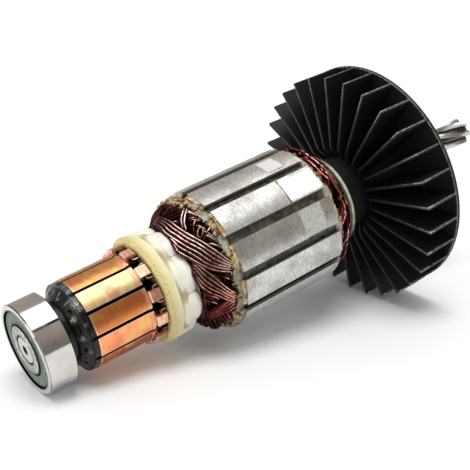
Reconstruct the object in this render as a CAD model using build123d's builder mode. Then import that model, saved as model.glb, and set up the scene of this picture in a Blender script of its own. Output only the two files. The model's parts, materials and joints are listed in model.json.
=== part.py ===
"""Armature of a universal motor, lying at rest.

The armature rests on the front edge of its bearing and on two neighbouring fan
blades, so the shaft rises towards the pinion. Stations are measured along the
shaft from the front face of the bearing, radii from the shaft's axis.
Angles turn about the shaft from the upward direction towards the near side.
"""
import os
from math import atan2, cos, degrees, hypot, radians, sin, tan

from build123d import *

# Fits
seat_gap = 0.02
stack_gap = 0.1
running_gap = 0.02
seal_gap = 0.3

# Front ball bearing, 7 x 22 x 7 mm
bearing_radius = 11.0
bearing_width = 7.0
journal_radius = 3.5
ring_chamfer = 0.3
inner_ring_radius = 6.05
outer_land_radius = 8.6
ball_radius = 1.985
ball_count = 7
cage_inner_radius = 6.4
cage_outer_radius = 8.2
cage_end_gap = 0.35
pocket_gap = 0.06
seal_radius = 9.5
seal_inset = 0.35
seal_thickness = 0.7
seal_lip_width = 0.5
seal_lip_height = 0.15
seal_edge_width = 0.35
seal_edge_depth = 0.45

# Shaft
shaft_length = 143.4
body_radius = 5.25
shoulder_radius = 4.9
end_chamfer = 0.4
centre_hole_radius = 1.1
centre_hole_depth = 1.6
rear_seat_start = 109.0
rear_seat_length = 8.5
rear_seat_radius = 5.0
neck_radius = 4.2
neck_start = 119.0
relief_depth = 0.3
relief_width = 1.2

# Pinion
pinion_start = 124.0
pinion_tip_radius = 3.7
pinion_root_radius = 2.2
pinion_teeth = 6
pinion_lead = 72.0
pinion_sections = 9
tooth_root_half_angle = 20.0
tooth_middle_half_angle = 14.0
tooth_tip_half_angle = 8.0

# Commutator
bar_count = 12
bar_start = 12.8
brush_length = 13.6
bar_land_length = 0.9
bar_radius = 11.0
bar_land_height = 0.2
bar_depth = 2.0
bar_gap_angle = 4.2
dovetail_depth = 1.6
dovetail_inset = 2.6
dovetail_flare = 1.0
mica_recess = 0.7
hub_start = 7.6
hub_boss_radius = 7.4
hub_boss_chamfer = 0.5
collar_start = 9.3
collar_front_radius = 8.2
collar_band_start = 11.4
collar_band_step = 0.5
collar_height = 0.2
collar_pocket_circle = 9.1
collar_pocket_radius = 0.55
collar_pocket_depth = 1.2
collar_groove_width = 1.0
collar_groove_length = 1.3
collar_groove_depth = 0.7
hook_length = 3.0
hook_width = 2.7
hook_height = 1.2
hook_thickness = 0.75
hook_base_depth = 1.3
hook_corner = 0.45

# Lead wires, resin and binding
lead_diameter = 0.7
lead_spread = 1.95
lead_bend = 0.9
resin_clearance = 0.3
resin_front_radius = 12.4
resin_radius = 13.55
resin_slope = 0.85
resin_length = 3.3
resin_taper = 0.35
binding_radius = 13.4
binding_lobes = 8
lobe_radius = 6.2
lobe_phase = 42.0
lobe_front_rounding = 1.4
lobe_rear_rounding = 2.2
binding_end_gap = 0.2

# Insulating sleeve on the shaft
sleeve_wall = 1.15

# Lamination stack
stack_start = 48.7
stack_length = 29.9
stack_radius = 18.0
slot_count = 12
slot_phase = 26.3
tooth_width = 3.5
slot_mouth_width = 2.3
slot_lip = 1.1
slot_shoulder = 0.5
slot_bottom_centre = 10.8
insulator_thickness = 0.7
insulator_inset = 0.6

# Balancing cuts: pole number, start and length from the stack's front, depth
balance_cuts = [(0, 20.1, 4.9, 0.25), (1, 19.6, 11.0, 0.3), (2, 19.7, 6.8, 0.45)]
balance_cut_width = 8.0

# Slot liners, wedges and coils
liner_thickness = 0.3
liner_overhang = 2.0
wedge_thickness = 0.35
wedge_overhang = 2.0
wedge_corner = 1.8
layer_gap = 0.3
layer_middle_radius = 13.4
coil_gap = 0.06
coil_slots = 5
coil_nose = 0.8
nose_inner_radius = 6.8
nose_outer_radius = 11.9
end_half_angle = 14.0

# End windings: distance from the stack, share of the way round to the nose,
# inner radius, outer radius, half the angle that the bundle takes up
outer_layer = [
    (2.8, 0.08, 13.2, 16.4, 8.0),
    (3.9, 0.27, 12.35, 15.9, 11.5),
    (5.3, 0.53, 11.3, 14.4, end_half_angle),
    (6.8, 0.82, 10.45, 13.1, end_half_angle),
    (7.9, 1.00, 10.15, 12.2, end_half_angle),
]
inner_layer = [
    (2.9, 0.09, 9.6, 12.7, 6.5),
    (4.2, 0.30, 8.4, 11.75, 10.5),
    (5.7, 0.57, 7.4, 10.7, end_half_angle),
    (7.0, 0.83, 6.95, 10.0, end_half_angle),
    (7.9, 1.00, nose_inner_radius, 9.8, end_half_angle),
]
leg_run = 2.1
leg_floor_share = 0.5

# Rear washer and fan
washer_gap = 0.2
washer_thickness = 0.8
washer_radius = 12.6
fan_gap = 0.1
fan_collar_radius = 9.5
fan_collar_chamfer = 0.5
blade_count = 29
blade_thickness = 0.7
blade_front = 95.8
blade_radius = 31.3
blade_inner_front = 94.0
blade_inner_radius = 12.6
fan_rim_front = 106.0
fan_rim_radius = 31.0
fan_rim_thickness = 0.9
fan_root_front = 96.8
fan_waist_front = 104.6
fan_waist_radius = 17.3
fan_wall = 1.5
fan_hollow_end = 101.2
fan_hollow_radius = 9.0
fan_boss_radius = 8.6
fan_boss_end = 107.8

# Pose at rest, from the two places that touch the ground
blade_half_pitch = radians(180 / blade_count)
fan_reach = blade_radius * cos(blade_half_pitch) + blade_thickness / 2 * sin(blade_half_pitch)
tilt = atan2(fan_reach - bearing_radius, blade_front - ring_chamfer)
shaft_direction = Vector(cos(tilt), 0, sin(tilt))
shaft_up = Vector(-sin(tilt), 0, cos(tilt))
shaft_side = Vector(0, -1, 0)
lowest_x = -(bearing_radius - ring_chamfer) * sin(tilt)
highest_x = shaft_length * cos(tilt) + (pinion_tip_radius - end_chamfer) * sin(tilt)
front_point = Vector(
    -(lowest_x + highest_x) / 2,
    0,
    bearing_radius * cos(tilt) - ring_chamfer * sin(tilt),
)
shaft_axis = Axis(front_point, shaft_direction)

# Stations and radii that follow from the sizes above
ball_circle = (bearing_radius + journal_radius) / 2
race_radius = ball_radius + running_gap
bar_end = bar_start + brush_length + bar_land_length
bar_pitch = 360 / bar_count
bar_phase = slot_phase + bar_pitch / 2
hook_end = bar_end + hook_length
hook_base_radius = bar_radius - hook_base_depth
hook_top_radius = bar_radius + hook_height
hook_eye_base = hook_base_radius + hook_thickness
hook_eye_top = hook_top_radius - hook_thickness
lead_radius = (hook_eye_base + hook_eye_top) / 2
lead_front = bar_end + hook_length / 2
hub_radius = hook_base_radius - seat_gap
resin_start = hook_end + resin_clearance
sleeve_start = resin_start
sleeve_radius = body_radius + sleeve_wall
stack_end = stack_start + stack_length
slot_pitch = 360 / slot_count
slot_roof = stack_radius - slot_lip - slot_shoulder
nose_reach = outer_layer[-1][0]
front_nose = stack_start - nose_reach - coil_nose
rear_nose = stack_end + nose_reach + coil_nose
resin_end = front_nose - binding_end_gap
binding_start = resin_start + resin_length
binding_bore = hypot(lead_radius + lead_diameter / 2, lead_spread + lead_diameter / 2) + stack_gap
washer_start = rear_nose + washer_gap
fan_start = washer_start + washer_thickness + fan_gap
bar_half_angle = (bar_pitch - bar_gap_angle) / 2

os.makedirs("parts", exist_ok=True)


def station(distance):
    """Plane across the shaft: x points up, y to the near side."""
    return Plane(origin=front_point + shaft_direction * distance, x_dir=shaft_up, z_dir=shaft_direction)


def half_section(angle=0):
    """Plane through the shaft's axis: x runs along the shaft, y outwards."""
    outward = shaft_up * cos(radians(angle)) + shaft_side * sin(radians(angle))
    return Plane(origin=front_point, x_dir=shaft_direction, z_dir=shaft_direction.cross(outward))


def outward_plane(angle, radius=0.0):
    """Plane that faces away from the shaft: x runs along the shaft."""
    outward = shaft_up * cos(radians(angle)) + shaft_side * sin(radians(angle))
    return Plane(origin=front_point + outward * radius, x_dir=shaft_direction, z_dir=outward)


def polar(radius, angle):
    """Point of a sketch across the shaft."""
    return radius * cos(radians(angle)), radius * sin(radians(angle))


def profile(*points):
    """Closed face with straight sides, in the sketch that is open."""
    Polygon(*points, align=None)


def sector(inner, outer, angle, half_angle):
    """Piece of a ring, in the sketch that is open."""
    first = angle - half_angle
    last = angle + half_angle
    with BuildLine() as outline:
        ThreePointArc(polar(outer, first), polar(outer, angle), polar(outer, last))
        Line(polar(outer, last), polar(inner, last))
        ThreePointArc(polar(inner, last), polar(inner, angle), polar(inner, first))
        Line(polar(inner, first), polar(outer, first))
    make_face(outline.edges())


def tube(start, end, inner, outer):
    """Plain ring on the shaft, in the part that is open."""
    with BuildSketch(station(start)) as ring:
        Circle(outer)
        Circle(inner, mode=Mode.SUBTRACT)
    extrude(ring.sketch, amount=end - start)


def slot_half_width(radius, inset):
    """Half the width of a slot, from teeth with parallel sides."""
    half_pitch = radians(slot_pitch / 2)
    return radius * tan(half_pitch) - (tooth_width / 2 + inset) / cos(half_pitch)


def slot_shapes(inset, roof, mode=Mode.ADD):
    """All the slots, pulled in from the teeth, in the sketch that is open."""
    bottom = slot_half_width(slot_bottom_centre, inset)
    top = slot_half_width(roof, inset)
    with PolarLocations(0, slot_count, slot_phase):
        Polygon(
            (slot_bottom_centre, -bottom),
            (roof, -top),
            (roof, top),
            (slot_bottom_centre, bottom),
            align=None,
            mode=mode,
        )
    with PolarLocations(slot_bottom_centre, slot_count, slot_phase):
        Circle(bottom, mode=mode)


def slot_mouths():
    """Slot mouths with their sloping shoulders, cut from the sketch that is open."""
    wide = slot_half_width(slot_roof, 0)
    narrow = slot_mouth_width / 2
    throat = slot_roof + slot_shoulder
    with PolarLocations(0, slot_count, slot_phase):
        Polygon(
            (slot_roof, -wide),
            (throat, -narrow),
            (stack_radius + slot_lip, -narrow),
            (stack_radius + slot_lip, narrow),
            (throat, narrow),
            (slot_roof, wide),
            align=None,
            mode=Mode.SUBTRACT,
        )


# Shaft, with the pinion cut in its far end
with BuildPart() as shaft:
    seat_end = rear_seat_start + rear_seat_length
    with BuildSketch(half_section()):
        profile(
            (0, 0),
            (0, journal_radius - end_chamfer),
            (end_chamfer, journal_radius),
            (bearing_width, journal_radius),
            (bearing_width, shoulder_radius),
            (hub_start, shoulder_radius),
            (hub_start, body_radius),
            (rear_seat_start - relief_width, body_radius),
            (rear_seat_start - relief_width, rear_seat_radius - relief_depth),
            (rear_seat_start, rear_seat_radius - relief_depth),
            (rear_seat_start, rear_seat_radius),
            (seat_end, rear_seat_radius),
            (neck_start, neck_radius),
            (pinion_start - end_chamfer, neck_radius),
            (pinion_start, neck_radius - end_chamfer),
            (pinion_start, 0),
        )
    revolve(axis=shaft_axis)
    with BuildSketch(half_section()):
        profile((0, 0), (0, centre_hole_radius), (centre_hole_depth, 0))
    revolve(axis=shaft_axis, mode=Mode.SUBTRACT)


def pinion_outline(turn):
    """Outline of the pinion's teeth, in the sketch that is open."""
    tooth_pitch = 360 / pinion_teeth
    middle_radius = (pinion_tip_radius + pinion_root_radius) / 2
    with BuildLine() as outline:
        for tooth in range(pinion_teeth):
            centre = turn + tooth * tooth_pitch
            rise = polar(pinion_root_radius, centre - tooth_root_half_angle)
            fall = polar(pinion_root_radius, centre + tooth_root_half_angle)
            tip_first = polar(pinion_tip_radius, centre - tooth_tip_half_angle)
            tip_last = polar(pinion_tip_radius, centre + tooth_tip_half_angle)
            ThreePointArc(rise, polar(middle_radius, centre - tooth_middle_half_angle), tip_first)
            ThreePointArc(tip_first, polar(pinion_tip_radius, centre), tip_last)
            ThreePointArc(tip_last, polar(middle_radius, centre + tooth_middle_half_angle), fall)
            following = polar(pinion_root_radius, centre + tooth_pitch - tooth_root_half_angle)
            ThreePointArc(fall, polar(pinion_root_radius, centre + tooth_pitch / 2), following)
    make_face(outline.edges())


with BuildPart() as pinion:
    pinion_length = shaft_length - pinion_start
    for section in range(pinion_sections):
        share = section / (pinion_sections - 1)
        with BuildSketch(station(pinion_start + share * pinion_length)):
            pinion_outline(360 * share * pinion_length / pinion_lead)
    loft()
    with BuildSketch(half_section()):
        profile(
            (shaft_length - end_chamfer, pinion_tip_radius),
            (shaft_length, pinion_tip_radius - end_chamfer),
            (shaft_length, pinion_tip_radius + end_chamfer),
            (shaft_length - end_chamfer, pinion_tip_radius + end_chamfer),
        )
    revolve(axis=shaft_axis, mode=Mode.SUBTRACT)

with shaft:
    add(pinion.part)

shaft.part.label = "shaft_with_pinion"
export_step(shaft.part, "parts/shaft_with_pinion.step")

# Front bearing
with BuildPart() as inner_ring:
    with BuildSketch(half_section()):
        profile(
            (0, journal_radius + seat_gap),
            (0, inner_ring_radius - ring_chamfer / 2),
            (ring_chamfer / 2, inner_ring_radius),
            (bearing_width - ring_chamfer / 2, inner_ring_radius),
            (bearing_width, inner_ring_radius - ring_chamfer / 2),
            (bearing_width, journal_radius + seat_gap),
        )
        with Locations((bearing_width / 2, ball_circle)):
            Circle(race_radius, mode=Mode.SUBTRACT)
    revolve(axis=shaft_axis)

inner_ring.part.label = "bearing_inner_ring"
export_step(inner_ring.part, "parts/bearing_inner_ring.step")

with BuildPart() as outer_ring:
    seal_end = seal_inset + seal_thickness + seat_gap
    with BuildSketch(half_section()):
        profile(
            (0, seal_radius + seat_gap),
            (0, bearing_radius - ring_chamfer),
            (ring_chamfer, bearing_radius),
            (bearing_width - ring_chamfer, bearing_radius),
            (bearing_width, bearing_radius - ring_chamfer),
            (bearing_width, seal_radius + seat_gap),
            (bearing_width - seal_end, seal_radius + seat_gap),
            (bearing_width - seal_end, outer_land_radius),
            (seal_end, outer_land_radius),
            (seal_end, seal_radius + seat_gap),
        )
        with Locations((bearing_width / 2, ball_circle)):
            Circle(race_radius, mode=Mode.SUBTRACT)
    revolve(axis=shaft_axis)

outer_ring.part.label = "bearing_outer_ring"
export_step(outer_ring.part, "parts/bearing_outer_ring.step")

with BuildPart() as balls:
    with Locations(station(bearing_width / 2)):
        with PolarLocations(ball_circle, ball_count):
            Sphere(ball_radius)

balls.part.label = "bearing_balls"
export_step(balls.part, "parts/bearing_balls.step")

with BuildPart() as cage:
    cage_start = seal_inset + seal_thickness + cage_end_gap
    tube(cage_start, bearing_width - cage_start, cage_inner_radius, cage_outer_radius)
    for ball in range(ball_count):
        with BuildSketch(outward_plane(ball * 360 / ball_count)):
            with Locations((bearing_width / 2, 0)):
                Circle(ball_radius + pocket_gap)
        extrude(amount=bearing_radius, mode=Mode.SUBTRACT)

cage.part.label = "bearing_cage"
export_step(cage.part, "parts/bearing_cage.step")


def bearing_seal(face, inward):
    """Seal disc behind one face of the bearing, with a raised lip at its bore."""
    bore = inner_ring_radius + seal_gap
    outside = face + inward * seal_inset
    inside = outside + inward * seal_thickness
    lip = outside - inward * seal_lip_height
    with BuildPart() as seal:
        with BuildSketch(half_section()):
            profile(
                (lip, bore),
                (lip, bore + seal_lip_width),
                (outside, bore + seal_lip_width),
                (outside, seal_radius - seal_edge_width),
                (outside + inward * seal_edge_depth, seal_radius - seal_edge_width),
                (outside + inward * seal_edge_depth, seal_radius),
                (inside, seal_radius),
                (inside, bore),
            )
        revolve(axis=shaft_axis)
    return seal.part


front_seal = bearing_seal(0, 1)
front_seal.label = "bearing_seal_front"
export_step(front_seal, "parts/bearing_seal_front.step")

rear_seal = bearing_seal(bearing_width, -1)
rear_seal.label = "bearing_seal_rear"
export_step(rear_seal, "parts/bearing_seal_rear.step")


# Commutator
def bar_profile(inset=0.0):
    """Side view of a bar with its dovetail, in the sketch that is open."""
    foot = bar_radius - bar_depth
    root = foot - dovetail_depth - inset
    profile(
        (bar_start - inset, bar_radius),
        (bar_start + brush_length, bar_radius),
        (bar_start + brush_length, bar_radius + bar_land_height),
        (bar_end + inset, bar_radius + bar_land_height),
        (bar_end + inset, foot - inset),
        (bar_end - dovetail_inset + inset, foot - inset),
        (bar_end - dovetail_inset + dovetail_flare + inset, root),
        (bar_start + dovetail_inset - dovetail_flare - inset, root),
        (bar_start + dovetail_inset - inset, foot - inset),
        (bar_start - inset, foot - inset),
    )


with BuildPart() as commutator_hub:
    rib_radius = bar_radius - mica_recess
    collar_radius = bar_radius - collar_height
    with BuildSketch(half_section()):
        with BuildLine():
            Polyline(
                (hub_start, body_radius + seat_gap),
                (hub_start, hub_boss_radius - hub_boss_chamfer),
                (hub_start + hub_boss_chamfer, hub_boss_radius),
                (collar_start, hub_boss_radius),
                (collar_start, collar_front_radius),
                (collar_band_start, collar_radius - collar_band_step),
                (collar_band_start, collar_radius),
                (bar_start - seat_gap, collar_radius),
                (bar_start - seat_gap, rib_radius),
                (bar_end, rib_radius),
                (bar_end, hub_radius),
                (hook_end, hub_radius),
                (hook_end, body_radius + seat_gap),
                close=True,
            )
        make_face()
    revolve(axis=shaft_axis)
    with BuildSketch(station(collar_start)):
        with PolarLocations(collar_pocket_circle, bar_count, bar_phase):
            Circle(collar_pocket_radius)
    extrude(amount=collar_pocket_depth, mode=Mode.SUBTRACT)
    for bar in range(bar_count):
        start = bar_phase + bar * bar_pitch - bar_half_angle
        with BuildSketch(half_section(start)):
            bar_profile(seat_gap)
        revolve(axis=shaft_axis, revolution_arc=2 * bar_half_angle, mode=Mode.SUBTRACT)
    with BuildSketch(station(bar_start - collar_groove_length)):
        with PolarLocations(collar_radius, bar_count, slot_phase):
            Rectangle(2 * collar_groove_depth, collar_groove_width)
    extrude(amount=collar_groove_length, mode=Mode.SUBTRACT)

commutator_hub.part.label = "commutator_hub"
export_step(commutator_hub.part, "parts/commutator_hub.step")


def commutator_bar(angle):
    """Bar with its dovetail and the hook that closes over the lead wire."""
    with BuildPart() as bar:
        with BuildSketch(half_section(angle - bar_half_angle)):
            bar_profile()
        revolve(axis=shaft_axis, revolution_arc=2 * bar_half_angle)
        with BuildSketch(half_section(angle)):
            with Locations(((bar_end + hook_end) / 2, (hook_base_radius + hook_top_radius) / 2)):
                RectangleRounded(hook_length, hook_top_radius - hook_base_radius, hook_corner)
                Rectangle(
                    hook_length - 2 * hook_thickness,
                    hook_eye_top - hook_eye_base,
                    mode=Mode.SUBTRACT,
                )
            with Locations((bar_end, (hook_base_radius + hook_eye_base) / 2)):
                Rectangle(2 * hook_corner, hook_thickness)
        extrude(amount=hook_width / 2, both=True)
    return bar.part


for number in range(bar_count):
    copper_bar = commutator_bar(bar_phase + number * bar_pitch)
    copper_bar.label = f"commutator_bar_{number + 1:02d}"
    export_step(copper_bar, f"parts/commutator_bar_{number + 1:02d}.step")


# Lead wires: each runs from the winding, under a hook and back
def lead_wire(angle):
    """One wire bent round under its hook, in the part that is open."""
    with BuildLine(outward_plane(angle, lead_radius)) as route:
        FilletPolyline(
            (front_nose, -lead_spread),
            (lead_front, -lead_spread),
            (lead_front, lead_spread),
            (front_nose, lead_spread),
            radius=lead_bend,
        )
    with BuildSketch(Plane(origin=route.line @ 0, z_dir=route.line % 0)) as section:
        Circle(lead_diameter / 2)
    sweep(section.sketch, path=route.line)


with BuildPart() as lead_wires:
    for number in range(bar_count):
        lead_wire(bar_phase + number * bar_pitch)

lead_wires.part.label = "lead_wires"
export_step(lead_wires.part, "parts/lead_wires.step")

# Resin over the lead wires, and the binding behind it
with BuildPart() as lead_resin:
    with BuildSketch(half_section()):
        profile(
            (resin_start, sleeve_radius + seat_gap),
            (resin_start, resin_front_radius),
            (resin_start + resin_slope, resin_radius),
            (binding_start - resin_taper, resin_radius - resin_taper),
            (binding_start, resin_radius - 2 * resin_taper),
            (binding_start, binding_bore),
            (resin_end, binding_bore),
            (resin_end, sleeve_radius + seat_gap),
        )
    revolve(axis=shaft_axis)
    with BuildSketch(station(resin_start)):
        for side in (-1, 1):
            with PolarLocations(lead_radius, bar_count, bar_phase):
                with Locations((0, side * lead_spread)):
                    Circle(lead_diameter / 2 + seat_gap)
    extrude(amount=resin_end - resin_start, mode=Mode.SUBTRACT)

lead_resin.part.label = "lead_resin"
export_step(lead_resin.part, "parts/lead_resin.step")

with BuildPart() as lead_binding:
    lobe_centre = binding_radius - lobe_radius
    binding_front = binding_start + seat_gap
    for lobe in range(binding_lobes):
        lobe_plane = half_section(lobe_phase + (lobe + 0.5) * 360 / binding_lobes)
        with BuildSketch(lobe_plane):
            with BuildLine():
                front_round = TangentArc(
                    (binding_front, binding_radius - lobe_front_rounding),
                    (binding_front + lobe_front_rounding, binding_radius),
                    tangent=(0, 1),
                )
                rear_round = TangentArc(
                    (resin_end - lobe_rear_rounding, binding_radius),
                    (resin_end, binding_radius - lobe_rear_rounding),
                    tangent=(1, 0),
                )
                Line(front_round @ 1, rear_round @ 0)
                Polyline(
                    rear_round @ 1,
                    (resin_end, lobe_centre),
                    (binding_front, lobe_centre),
                    front_round @ 0,
                )
            make_face()
        revolve(axis=Axis(front_point + lobe_plane.y_dir * lobe_centre, shaft_direction))
    with BuildSketch(station(binding_front)):
        Circle(binding_bore + seat_gap)
    extrude(amount=resin_end - binding_front, mode=Mode.SUBTRACT)

lead_binding.part.label = "lead_binding"
export_step(lead_binding.part, "parts/lead_binding.step")

# Insulating sleeve
with BuildPart() as shaft_sleeve:
    tube(sleeve_start, washer_start - seat_gap, body_radius + seat_gap, sleeve_radius)

shaft_sleeve.part.label = "shaft_sleeve"
export_step(shaft_sleeve.part, "parts/shaft_sleeve.step")

# Lamination stack with its slots and balancing cuts
with BuildPart() as lamination_core:
    with BuildSketch(station(stack_start)):
        Circle(stack_radius)
        Circle(sleeve_radius + seat_gap, mode=Mode.SUBTRACT)
        slot_shapes(0, slot_roof, mode=Mode.SUBTRACT)
        slot_mouths()
    extrude(amount=stack_length)
    for pole, cut_start, cut_length, cut_depth in balance_cuts:
        pole_angle = bar_phase - slot_pitch + pole * slot_pitch
        flat = half_section(pole_angle)
        cut_centre = stack_start + cut_start + cut_length / 2
        with BuildSketch(flat):
            with Locations((cut_centre, stack_radius - cut_depth)):
                Rectangle(cut_length, 2 * slot_lip, align=(Align.CENTER, Align.MIN))
        extrude(amount=balance_cut_width / 2, both=True, mode=Mode.SUBTRACT)

lamination_core.part.label = "lamination_core"
export_step(lamination_core.part, "parts/lamination_core.step")


def end_insulator(start):
    """Insulating disc with the outline of a lamination, against the stack."""
    with BuildPart() as insulator:
        with BuildSketch(station(start)):
            Circle(stack_radius - insulator_inset)
            Circle(sleeve_radius + seat_gap, mode=Mode.SUBTRACT)
            slot_shapes(0, slot_roof, mode=Mode.SUBTRACT)
            slot_mouths()
        extrude(amount=insulator_thickness)
    return insulator.part


front_insulator = end_insulator(stack_start - insulator_thickness)
front_insulator.label = "end_insulator_front"
export_step(front_insulator, "parts/end_insulator_front.step")

rear_insulator = end_insulator(stack_end)
rear_insulator.label = "end_insulator_rear"
export_step(rear_insulator, "parts/end_insulator_rear.step")

# Slot liners and wedges
wedge_floor = slot_roof - seat_gap - wedge_thickness

with BuildPart() as slot_liners:
    with BuildSketch(station(stack_start - liner_overhang)):
        slot_shapes(seat_gap, wedge_floor - seat_gap)
        slot_shapes(seat_gap + liner_thickness, wedge_floor + wedge_thickness, mode=Mode.SUBTRACT)
    extrude(amount=stack_length + 2 * liner_overhang)

slot_liners.part.label = "slot_liners"
export_step(slot_liners.part, "parts/slot_liners.step")

with BuildPart() as slot_wedges:
    wedge_width = 2 * slot_half_width(wedge_floor, seat_gap)
    for slot in range(slot_count):
        with BuildSketch(outward_plane(slot_phase + slot * slot_pitch, wedge_floor)):
            with Locations(((stack_start + stack_end) / 2, 0)):
                RectangleRounded(stack_length + 2 * wedge_overhang, wedge_width, wedge_corner)
        extrude(amount=wedge_thickness)

slot_wedges.part.label = "slot_wedges"
export_step(slot_wedges.part, "parts/slot_wedges.step")


# Coils
def coil_leg(inner, outer, angle):
    """Section of a coil's straight leg in its slot, and half the angle that it takes up."""
    inset = liner_thickness + coil_gap
    half_angle = degrees(slot_half_width(inner, inset) / inner)
    with BuildSketch(station(stack_start - leg_run)) as leg:
        sector(inner, outer, angle, half_angle)
    return leg.sketch, half_angle


def coil_end(layer, leg, face, outward, turn_from, turn_to):
    """Bundle from a leg to the nose, as one loft through its sections."""
    inner, outer, half_angle = leg
    with BuildPart() as bundle:
        with BuildSketch(station(face + outward * leg_run)):
            sector(inner, outer, turn_from, half_angle)
        for distance, share, layer_inner, layer_outer, layer_half_angle in layer:
            turn = turn_from + share * (turn_to - turn_from)
            with BuildSketch(station(face + outward * distance)):
                sector(layer_inner, layer_outer, turn, layer_half_angle)
        loft()
    return bundle.part


def coil(slot):
    """Coil with its upper leg in one slot and its lower leg some slots before."""
    upper_angle = slot_phase + slot * slot_pitch
    lower_angle = upper_angle - coil_slots * slot_pitch
    nose_angle = (upper_angle + lower_angle) / 2
    upper_inner = layer_middle_radius + layer_gap / 2
    upper_outer = wedge_floor - coil_gap
    lower_inner = slot_bottom_centre - leg_floor_share * slot_half_width(slot_bottom_centre, liner_thickness)
    lower_outer = layer_middle_radius - layer_gap / 2
    upper_sketch, upper_half = coil_leg(upper_inner, upper_outer, upper_angle)
    lower_sketch, lower_half = coil_leg(lower_inner, lower_outer, lower_angle)
    upper = (upper_inner, upper_outer, upper_half)
    lower = (lower_inner, lower_outer, lower_half)
    with BuildPart() as winding:
        extrude(upper_sketch, amount=stack_length + 2 * leg_run)
        extrude(lower_sketch, amount=stack_length + 2 * leg_run)
        for face, outward in ((stack_start, -1), (stack_end, 1)):
            add(coil_end(outer_layer, upper, face, outward, upper_angle, nose_angle))
            add(coil_end(inner_layer, lower, face, outward, lower_angle, nose_angle))
            with BuildSketch(station(face + outward * nose_reach)):
                sector(nose_inner_radius, nose_outer_radius, nose_angle, end_half_angle)
            extrude(amount=outward * coil_nose)
    return winding.part


for slot in range(slot_count):
    copper_coil = coil(slot)
    copper_coil.label = f"coil_{slot + 1:02d}"
    export_step(copper_coil, f"parts/coil_{slot + 1:02d}.step")

# Rear washer
with BuildPart() as rear_washer:
    tube(washer_start, washer_start + washer_thickness, body_radius + seat_gap, washer_radius)

rear_washer.part.label = "rear_washer"
export_step(rear_washer.part, "parts/rear_washer.step")

# Fan
with BuildPart() as fan:
    fan_bore = body_radius + seat_gap
    with BuildSketch(half_section()):
        with BuildLine():
            Polyline(
                (fan_start, fan_bore),
                (fan_start, fan_collar_radius - fan_collar_chamfer),
                (fan_start + fan_collar_chamfer, fan_collar_radius),
                (fan_root_front, fan_collar_radius),
            )
            dish = TangentArc(
                (fan_root_front, fan_collar_radius),
                (fan_waist_front, fan_waist_radius),
                tangent=(1, 0),
            )
            back_waist = (fan_waist_front + fan_wall, fan_waist_radius)
            Polyline(
                dish @ 1,
                (fan_rim_front, fan_rim_radius),
                (fan_rim_front + fan_rim_thickness, fan_rim_radius),
                back_waist,
            )
            hollow = TangentArc(back_waist, (fan_hollow_end, fan_hollow_radius), tangent=(0, -1))
            Polyline(
                hollow @ 1,
                (fan_boss_end, fan_boss_radius),
                (fan_boss_end, fan_bore),
                (fan_start, fan_bore),
            )
        make_face()
    revolve(axis=shaft_axis)
    for blade in range(blade_count):
        with BuildSketch(half_section(blade * 360 / blade_count)):
            profile(
                (blade_inner_front, blade_inner_radius),
                (blade_front, blade_radius),
                (fan_rim_front + fan_rim_thickness / 2, fan_rim_radius),
                (fan_waist_front + fan_wall / 2, fan_waist_radius),
                (fan_root_front + fan_wall, fan_collar_radius - fan_wall),
                (fan_root_front, fan_collar_radius - fan_wall),
            )
        extrude(amount=blade_thickness / 2, both=True)

fan.part.label = "fan"
export_step(fan.part, "parts/fan.step")
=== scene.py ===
"""Looks of the motor armature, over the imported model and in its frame, in metres."""
import itertools
import json
import math
import random

import bpy
from mathutils import Euler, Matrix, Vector, noise
from mathutils.bvhtree import BVHTree


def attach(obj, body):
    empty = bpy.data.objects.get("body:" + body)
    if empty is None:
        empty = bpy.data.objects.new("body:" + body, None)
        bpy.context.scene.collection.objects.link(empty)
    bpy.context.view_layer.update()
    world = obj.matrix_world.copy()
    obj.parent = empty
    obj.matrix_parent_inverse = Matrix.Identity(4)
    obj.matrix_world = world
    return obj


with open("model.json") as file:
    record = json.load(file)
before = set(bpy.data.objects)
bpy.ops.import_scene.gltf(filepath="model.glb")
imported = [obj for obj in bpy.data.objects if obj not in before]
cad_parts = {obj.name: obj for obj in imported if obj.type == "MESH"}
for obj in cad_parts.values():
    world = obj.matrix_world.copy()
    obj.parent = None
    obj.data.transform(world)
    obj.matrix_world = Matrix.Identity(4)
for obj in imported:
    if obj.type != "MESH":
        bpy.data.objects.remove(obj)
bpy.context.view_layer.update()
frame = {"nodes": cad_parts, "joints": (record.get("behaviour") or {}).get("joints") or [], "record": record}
nodes = frame["nodes"]
scene = bpy.context.scene

MM = 0.001
FRONT_BEARING_WIDTH = 7.0
BEARING_RADIUS = 11.0
random.seed(7)

# The shaft's own directions, from the bearing's joint
bearing_joint = next(joint for joint in frame["joints"] if joint["name"] == "bearing_spin")
SHAFT = Vector(bearing_joint["axis"]).normalized()
SIDE = Vector((0, -1, 0))
UP = SIDE.cross(SHAFT).normalized()
FRONT = Vector(bearing_joint["pos_m"]) - SHAFT * FRONT_BEARING_WIDTH / 2 * MM


def outward_at(angle):
    """Direction away from the shaft, at an angle from the top towards the near side."""
    turn = math.radians(angle)
    return UP * math.cos(turn) + SIDE * math.sin(turn)


def place(station, radius, angle):
    """Point at a station along the shaft, a radius and an angle, in mm and degrees."""
    return FRONT + (SHAFT * station + outward_at(angle) * radius) * MM


def reach(name):
    """Least and greatest station and the greatest radius of a CAD node, in mm."""
    stations = []
    radii = []
    for vertex in nodes[name].data.vertices:
        offset = (vertex.co - FRONT) / MM
        station = offset.dot(SHAFT)
        stations.append(station)
        radii.append((offset - SHAFT * station).length)
    return min(stations), max(stations), max(radii)


STACK_START, STACK_END, STACK_RADIUS = reach("lamination_core")
BAR_START, _, BAR_RADIUS = reach("commutator_bar_01")
NOSE_RADIUS = reach("coil_01")[2]
RESIN_START = reach("lead_resin")[0]
TRACK_END = BAR_START + 13.35
PINION_START = 124.0
BAR_COUNT = 12
COIL_COUNT = 12
COIL_PITCH = 360 / COIL_COUNT

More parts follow.
